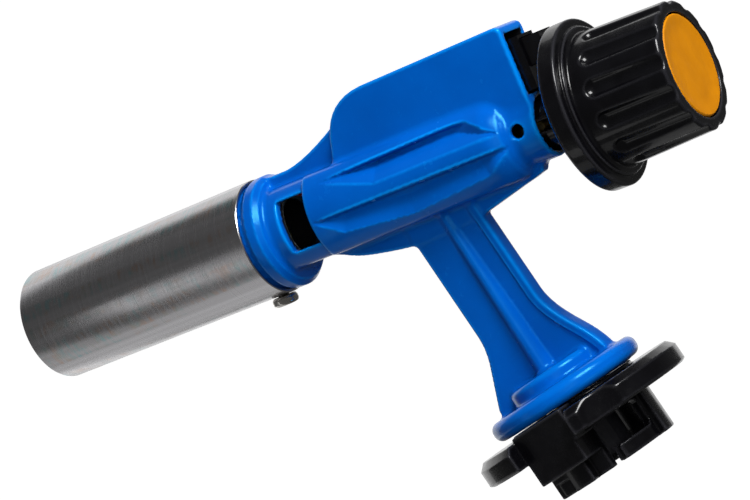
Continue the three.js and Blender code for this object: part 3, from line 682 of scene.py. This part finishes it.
# ---------------------------------------------------------------- cartridge coupling
def coupling_body(p):
    disc = turned(p.z, p.off_centre, [
        (0.6, DISC_RADIUS - 0.8), (0.9, DISC_RADIUS - 0.3), (DISC_TOP - 1.6, DISC_RADIUS - 0.3),
        (DISC_TOP - 0.3, DISC_RADIUS - 1.6)], 0.3)
    notch = brick(p.x, p.y, p.z, (-KEY_HALF_WIDTH, -40, -3), (NOTCH_END, -14.4, DISC_TOP + 3), 0.3)
    scallop = np.hypot(p.x - SCALLOP[0], p.y - SCALLOP[1]) - SCALLOP_RADIUS
    disc = cut(cut(disc, notch, 0.3), scallop, 0.5)
    key = brick(p.x, p.y, p.z, (-KEY_HALF_WIDTH, KEY_FACE, KEY_BOTTOM),
                (KEY_HALF_WIDTH, -8, PLATE_TOP), 0.3)
    plate = rod(p.z, p.off_centre, 0.5, PLATE_TOP, PLATE_RADIUS)
    socket = rod(p.z, p.off_centre, SOCKET_BOTTOM, 2, SOCKET_RADIUS, 0.35)
    whole = union(union(disc, plate, 0.4), union(key, socket, 0.3), 0.3)
    for reach, centre, half, top in LUGS:
        lug = sector(p, SOCKET_RADIUS - 1, reach, centre, half, SOCKET_BOTTOM, top)
        whole = union(whole, lug, 0.3)
    hollows = [
        rod(p.z, p.off_centre, SOCKET_BOTTOM - 3, SOCKET_CEILING, SOCKET_RADIUS - SOCKET_WALL),
        rod(p.z, p.off_centre, -20, 20, SLEEVE_RADIUS + 0.3),
        brick(p.x, p.y, p.z, (KEY_HALF_WIDTH - 0.8, -30, -14), (NOTCH_END, -9, -0.4), 0.3),
        brick(p.x, p.y, p.z, (-9, -30, -14), (-2.4, KEY_FACE + 4.2, KEY_BOTTOM - 1.4), 0.3),
    ]
    for centre, half in WINDOWS:
        hollows.append(sector(p, 9, 18, centre, half, -6.2, -0.2, 1.3))
    for x, y in SCREW_SPOTS:
        hollows.append(np.hypot(p.x - x, p.y - y) - SCREW_HOLE_RADIUS)
    for hollow in hollows:
        whole = cut(whole, hollow, 0.3)
    return whole


def tube_screw(p):
    """A pan head with a cross recess, and its shank."""
    down = -TUBE_RADIUS - 0.1 - p.above
    off = np.hypot(p.along - TUBE_SCREW_AT, p.side)
    head = rod(down, off, 0, TUBE_SCREW_HEAD_HEIGHT, TUBE_SCREW_HEAD_RADIUS, 0.8)
    shank = rod(down, off, -TUBE_SCREW_SHANK_LENGTH, 0.5, TUBE_SCREW_SHANK_RADIUS, 0.1)
    cross = [brick(p.along - TUBE_SCREW_AT, p.side, down, (-a, -b, 1.0), (a, b, 4), 0.1)
             for a, b in ((1.8, 0.4), (0.4, 1.8))]
    return cut(union(head, shank, 0.2), np.minimum(*cross), 0.2)


# ---------------------------------------------------------------- meshes
def net(value, origin, step):
    """Points and quads of the surface where the sampled values change sign."""
    inside = value < 0
    nx, ny, nz = value.shape
    corners = [(i, j, k) for i in (0, 1) for j in (0, 1) for k in (0, 1)]
    filled = sum(inside[i:nx - 1 + i, j:ny - 1 + j, k:nz - 1 + k].astype(np.int8)
                 for i, j, k in corners)
    crossed = (filled > 0) & (filled < 8)
    cells = np.argwhere(crossed)
    number = np.full(crossed.shape, -1)
    number[crossed] = np.arange(len(cells))
    total = np.zeros((len(cells), 3))
    hits = np.zeros(len(cells))
    for axis in range(3):
        for corner in corners:
            if corner[axis]:
                continue
            start = cells + corner
            end = start.copy()
            end[:, axis] += 1
            a, b = value[tuple(start.T)], value[tuple(end.T)]
            change = (a < 0) != (b < 0)
            spot = start.astype(float)
            spot[:, axis] += np.where(change, a / np.where(change, a - b, 1), 0)
            total[change] += spot[change]
            hits += change
    points = total / hits[:, None] * step + origin

    quads = []
    for axis in range(3):
        second, third = (axis + 1) % 3, (axis + 2) % 3
        low = [slice(None)] * 3
        high = [slice(None)] * 3
        low[axis], high[axis] = slice(None, -1), slice(1, None)
        change = inside[tuple(low)] != inside[tuple(high)]
        edges = np.argwhere(change)
        edges = edges[(edges[:, second] > 0) & (edges[:, third] > 0)]
        leaving = inside[tuple(edges.T)]
        ring = []
        for a, b in ((-1, -1), (0, -1), (0, 0), (-1, 0)):
            cell = edges.copy()
            cell[:, second] += a
            cell[:, third] += b
            ring.append(number[tuple(cell.T)])
        ring = np.stack(ring, 1)
        ring[~leaving] = ring[~leaving][:, ::-1]
        quads.append(ring)
    return points, np.concatenate(quads)


def slope_at(shape, points, reach):
    """Value and gradient of a shape at the points."""
    columns = []
    for axis in range(3):
        ahead, behind = points.copy(), points.copy()
        ahead[:, axis] += reach
        behind[:, axis] -= reach
        columns.append((shape(Place(*ahead.T)) - shape(Place(*behind.T))) / (2 * reach))
    return shape(Place(*points.T)), np.stack(columns, 1)


def edge_sharpness(shape, points, reach=0.7):
    """0.5 where the surface is flat, towards 1 on outer edges and 0 in corners."""
    here = shape(Place(*points.T))
    offsets = np.vstack([np.eye(3), -np.eye(3)]) * reach
    around = sum(shape(Place(*(points + offset).T)) for offset in offsets)
    bend = (around - 6 * here) / reach
    return np.clip(0.5 + bend / 4, 0, 1)


def add_piece(name, mesh, body, material, replaced):
    piece = bpy.data.objects.new(name, mesh)
    bpy.context.collection.objects.link(piece)
    mesh.materials.append(material)
    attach(piece, body)
    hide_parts(*replaced)
    return piece


def skin(name, shape, low, high, step, body, material, replaced):
    """The piece whose surface is where shape is zero, with nodes about a step apart."""
    low = np.array(low, float)
    axes = [np.arange(a, b, step, dtype=np.float32) for a, b in zip(low, high)]
    grid = Place(axes[0][:, None, None], axes[1][None, :, None], axes[2][None, None, :])
    points, quads = net(shape(grid), low, step)
    for _ in range(3):
        value, slope = slope_at(shape, points, 0.02)
        move = slope * (value / np.maximum((slope ** 2).sum(1), 0.2))[:, None]
        points = points - np.clip(move, -step / 3, step / 3)
    _, slope = slope_at(shape, points, 0.05)
    normals = slope / np.maximum(np.linalg.norm(slope, axis=1), 1e-6)[:, None]
    mesh = bpy.data.meshes.new(name)
    mesh.from_pydata(points * MM, [], quads)
    mesh.shade_smooth()
    mesh.normals_split_custom_set_from_vertices(normals)
    edge = mesh.attributes.new("edge", "FLOAT", "POINT")
    edge.data.foreach_set("value", edge_sharpness(shape, points).astype(np.float32))
    return add_piece(name, mesh, body, material, replaced)


def lathe(name, profile, segments, body, material, replaced):
    """A turned piece on the burner axis. The profile is a closed list of (along, radius)."""
    points, faces = [], []
    count = len(profile)
    for i in range(segments):
        angle = 2 * math.pi * i / segments
        for along, radius in profile:
            side, above = radius * math.sin(angle), radius * math.cos(angle)
            height = AXIS_HEIGHT - along * SIN + above * COS
            points.append((along * COS + above * SIN, side, height))
    for i in range(segments):
        after = (i + 1) % segments
        for j in range(count):
            k = (j + 1) % count
            faces.append((i * count + j, after * count + j, after * count + k, i * count + k))
    mesh = bpy.data.meshes.new(name)
    mesh.from_pydata([Vector(p) * MM for p in points], [], faces)
    mesh.shade_smooth()
    mesh.set_sharp_from_angle(angle=math.radians(35))
    edge = mesh.attributes.new("edge", "FLOAT", "POINT")
    edge.data.foreach_set("value", [0.5] * len(points))
    return add_piece(name, mesh, body, material, replaced)


def soften(node):
    """Small bevels on the edges of a piece that keeps its CAD mesh."""
    bevel = node.modifiers.new("soft_edges", "BEVEL")
    bevel.width = 0.15 * MM
    bevel.segments = 2
    bevel.limit_method = "ANGLE"
    bevel.angle_limit = math.radians(40)
    bevel.harden_normals = True


def mark_painted_shade(casting):
    """Marks the air chamber, rear bore and piezo pocket, whose insides the casting's material
    paints near black as shade.
    """
    flat = np.empty(3 * len(casting.data.vertices), np.float32)
    casting.data.vertices.foreach_get("co", flat)
    p = Place(*(flat.reshape(-1, 3) / MM).T)
    chamber = (p.along < -8) & (p.off_axis < AIR_CHAMBER_RADIUS + 1.4)
    rear_bore = (p.along > 13) & (p.off_axis < REAR_BORE_RADIUS + 0.5)
    margin = 0.2
    (front, _, bottom), (_, half_width, top) = PIEZO_POCKET
    pocket = (p.along > front - margin) & (np.abs(p.side) < half_width + margin)
    pocket = pocket & (p.above > bottom - margin) & (p.above < top + margin)
    painted_shade = casting.data.attributes.new("painted_shade", "FLOAT", "POINT")
    painted_shade.data.foreach_set("value", (chamber | rear_bore | pocket).astype(np.float32))


# ---------------------------------------------------------------- the scene
add_camera()
add_world()
add_stage()
right, up, back = camera_axes()
# name, direction from the torch, distance and size in m, power in W
add_lamp("front", back + up * 0.15, 1.0, (0.5, 0.5), 3.8, mirrored=False)
add_lamp("key", up * 0.75 + right * 0.1 + back * 0.65, 0.8, (0.35, 0.35), 8.5)
add_lamp("backdrop", -back + up * 0.2 - right * 0.2, 0.9, (1.6, 1.6), 7.2)
add_lamp("floor_glow", -up - right * 0.2 - back * 0.5, 0.9, (1.0, 1.0), 1.3)
add_lamp("strip", -right * 0.6 - up * 0.75 + back * 0.35, 0.8, (0.10, 0.8), 0.25)

enamel = blue_enamel()
steel = flame_steel()
bright = worked_metal("bright_steel", (0.50, 0.47, 0.42), (0.82, 0.80, 0.77), 0.08)
brass = worked_metal("brass", (0.60, 0.43, 0.15), (0.88, 0.69, 0.33), 0.3)
# the last colour of each plastic is its painted edge highlight
black = moulded_plastic("black_plastic", (0.0012, 0.0011, 0.0017), (0.003, 0.003, 0.004), 0.17,
                        (0.02, 0.02, 0.024))
grey = moulded_plastic("grey_plastic", (0.008, 0.008, 0.010), (0.014, 0.014, 0.017), 0.4,
                       (0.05, 0.05, 0.055))
yellow = moulded_plastic("yellow_plastic", (0.53, 0.185, 0.0), (0.61, 0.22, 0.0), 0.4,
                         (0.85, 0.42, 0.05), coat=0.05)
rubber = soft_surface("nitrile_rubber", (0.012, 0.012, 0.012), (0.03, 0.03, 0.03), 0.65, 2500)
ceramic = soft_surface("glazed_ceramic", (0.72, 0.70, 0.64), (0.84, 0.82, 0.77), 0.15, 1200)
sheath = soft_surface("silicone_sheath", (0.36, 0.03, 0.015), (0.46, 0.05, 0.03), 0.45, 1800)

# name, shape, low and high corner of the sampled box and its step in mm, then as in add_piece
casting = skin("casting_skin", body_casting, (-50, -18.6, 5.5), (36.5, 18.6, 84), 0.46,
               "torch", enamel, ["body_casting"])
# painted shade: the casting's hollows are marked to be painted near black
mark_painted_shade(casting)
skin("knob_skin", control_knob, (27, -18.4, 28), (68, 18.4, 71), 0.33,
     "knob", black, ["control_knob"])
skin("coupling_skin", coupling_body, (-25, -25, -10.6), (25, 25, 7.6), 0.33,
     "torch", black, ["coupling_body"])
skin("tube_screw_skin", tube_screw, (-48, -3.5, 52.5), (-39, 3.5, 63.5), 0.14,
     "torch", bright, ["flame_tube_screw"])

inner = TUBE_RADIUS - TUBE_WALL
lathe("flame_tube_skin", [
    (TUBE_FRONT + 0.5, inner), (TUBE_FRONT + 0.1, inner + 0.12), (TUBE_FRONT, inner + 0.3),
    (TUBE_FRONT + 0.1, TUBE_RADIUS - 0.12), (TUBE_FRONT + 0.5, TUBE_RADIUS), (-70, TUBE_RADIUS),
    (TUBE_REAR - 0.2, TUBE_RADIUS), (TUBE_REAR, TUBE_RADIUS - 0.15), (TUBE_REAR, inner),
    (-70, inner),
], 128, "torch", steel, ["flame_tube"])
lathe("knob_cap_skin", [
    (KNOB_END - 1.3, 0.02), (KNOB_END - 1.3, CAP_RADIUS), (KNOB_END - 0.35, CAP_RADIUS),
    (KNOB_END - 0.12, CAP_RADIUS - 0.25), (KNOB_END - 0.1, CAP_RADIUS - 0.6),
    (KNOB_END - 0.35, CAP_RADIUS - 1.4), (KNOB_END - 0.4, CAP_RADIUS - 4), (KNOB_END - 0.45, 0.02),
], 128, "knob", yellow, ["knob_cap"])

finishes = {
    "bright_steel": bright, "brass": brass, "black_plastic": black, "grey_plastic": grey,
    "rubber": rubber, "ceramic": ceramic, "lead_sheath": sheath, "flame_steel": steel,
}
for part in frame["record"]["subparts"]:
    finish = finishes.get(part["material_slot"])
    if finish:
        node = frame["nodes"][part["node"]]
        node.data.materials.clear()
        node.data.materials.append(finish)
        soften(node)
